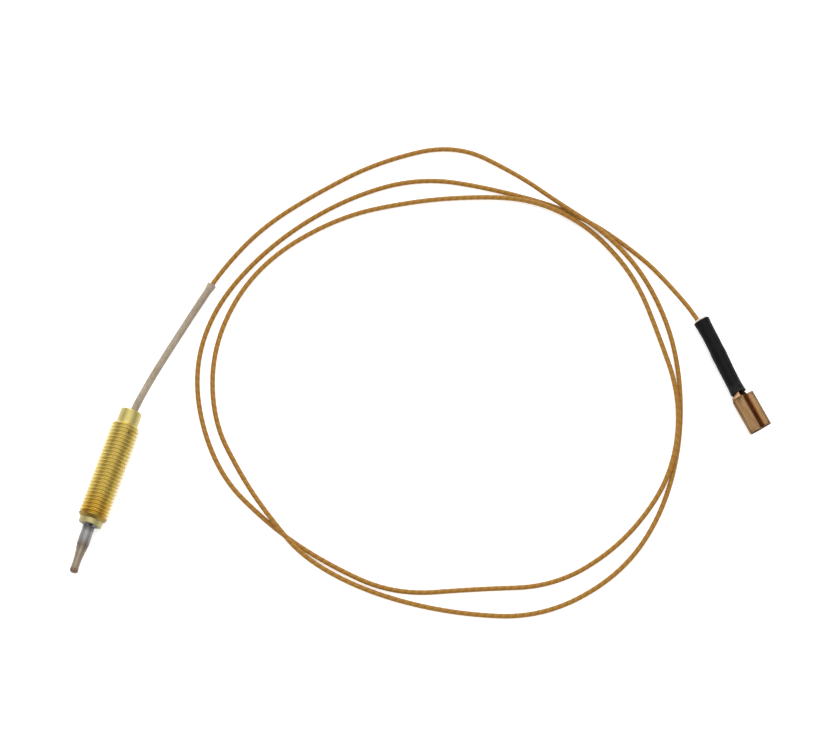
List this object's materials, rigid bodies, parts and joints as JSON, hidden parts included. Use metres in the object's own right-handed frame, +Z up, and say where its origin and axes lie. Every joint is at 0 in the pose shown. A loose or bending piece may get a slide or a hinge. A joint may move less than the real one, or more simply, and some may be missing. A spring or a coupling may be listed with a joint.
{
  "type": "thermocouple",
  "caption": "Gas-appliance thermocouple: threaded brass head with a swaged metal sensing tip, a long fibre-lapped lead and a push-on tab receptacle under heat-shrink.",
  "frame": {"origin": "on the surface that the thermocouple lies on, under the middle of the head's length", "axes": "+Z up from the surface. The head's axis is along Y at the thread's crest radius above the surface, with the sensing tip towards -Y and the lead leaving towards +Y. The lead lies to the +X side."},
  "size_m": [0.1681, 0.1479, 0.0078],
  "materials": {
    "body_brass": "machined, bright",
    "sheath_alloy": "satin, heat-tinted towards the tip",
    "weld_bead": "dark oxide",
    "braze": "as-brazed, blotched",
    "element_wire": "drawn wire",
    "white_fibre": "glass fibre, matte",
    "tinned_ferrule": "tinned",
    "bush": "matte",
    "braided_sleeve": "woven glass fibre, varnished",
    "lapped_jacket": "lapped glass fibre, satin varnish",
    "core_strands": "stranded wire",
    "heat_shrink": "satin",
    "terminal_bronze": "pressed sheet, bright"
  },
  "bodies": {
    "root": {"threaded_body": "body_brass", "sensor_sheath": "sheath_alloy", "hot_junction_bead": "weld_bead", "braze_fillet": "braze", "inner_element_wire": "element_wire", "element_insulator": "white_fibre", "splice_ferrule": "tinned_ferrule", "splice_sleeve": "white_fibre", "insulating_bush": "bush", "exit_sleeve": "braided_sleeve", "lead_jacket": "lapped_jacket", "lead_core": "core_strands", "connector_inner_sleeve": "white_fibre", "heat_shrink_tube": "heat_shrink", "tab_receptacle": "terminal_bronze"}
  },
  "joints": []
}
